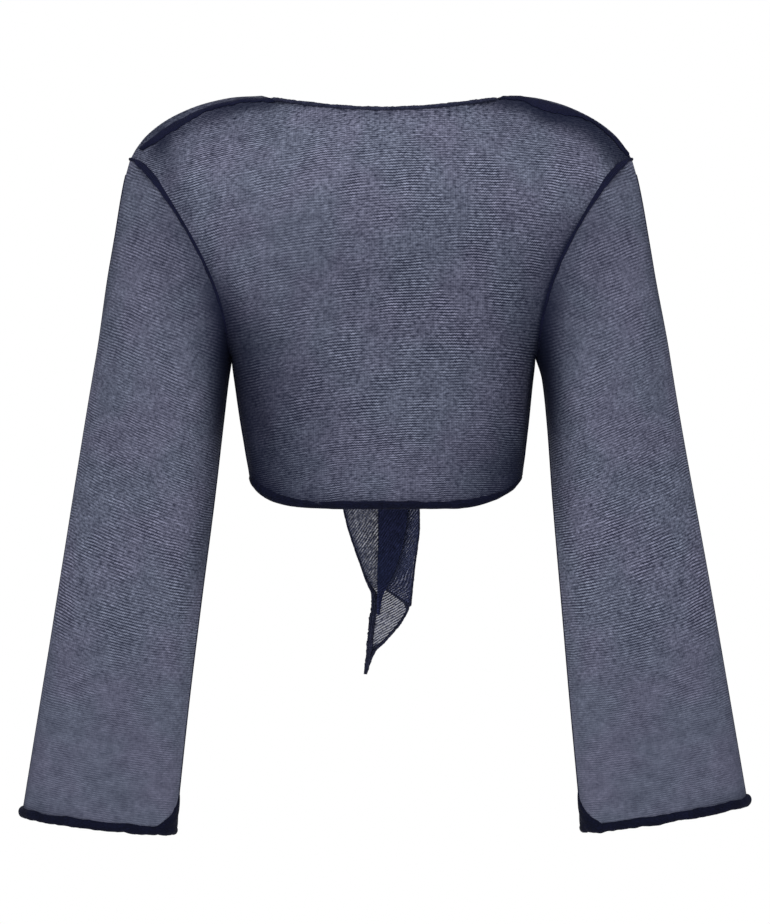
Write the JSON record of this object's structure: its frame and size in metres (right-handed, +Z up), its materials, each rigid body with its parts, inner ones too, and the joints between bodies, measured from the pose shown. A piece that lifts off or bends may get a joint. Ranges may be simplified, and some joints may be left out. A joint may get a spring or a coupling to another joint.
{
  "type": "tie-front cropped knit top",
  "caption": "Cropped knit top worn open at the neck: fronts knotted over the waist with loose ends, wide shallow back neck, long slightly flared sleeves and rolled edges, hollow as if worn.",
  "frame": {"origin": "midway between the two points where the shoulder seams meet the neck edge, level with them: where shoulders or a hanger hold the top", "axes": "+Z up, the tied front faces -Y, the back faces +Y, and the wearer's left is +X"},
  "size_m": [0.6415, 0.2027, 0.6509],
  "materials": {
    "knit": "sheer fine-gauge knit in navy, matte, one layer",
    "rolled_edge": "the same knit rolled up on itself, so it reads dark navy",
    "knotted_knit": "several layers of the knit pulled tight in a knot",
    "tail": "one layer of the same knit, hanging loose, so a little more sheer"
  },
  "bodies": {
    "root": {"back": "knit", "front_left": "knit", "front_right": "knit", "sleeve_left": "knit", "sleeve_right": "knit", "neck_edge": "rolled_edge", "hem_edge": "rolled_edge", "cuff_edge_left": "rolled_edge", "cuff_edge_right": "rolled_edge", "tie_knot": "knotted_knit", "tail_left": "tail", "tail_right": "tail", "tail_right_fold": "tail"}
  },
  "joints": []
}
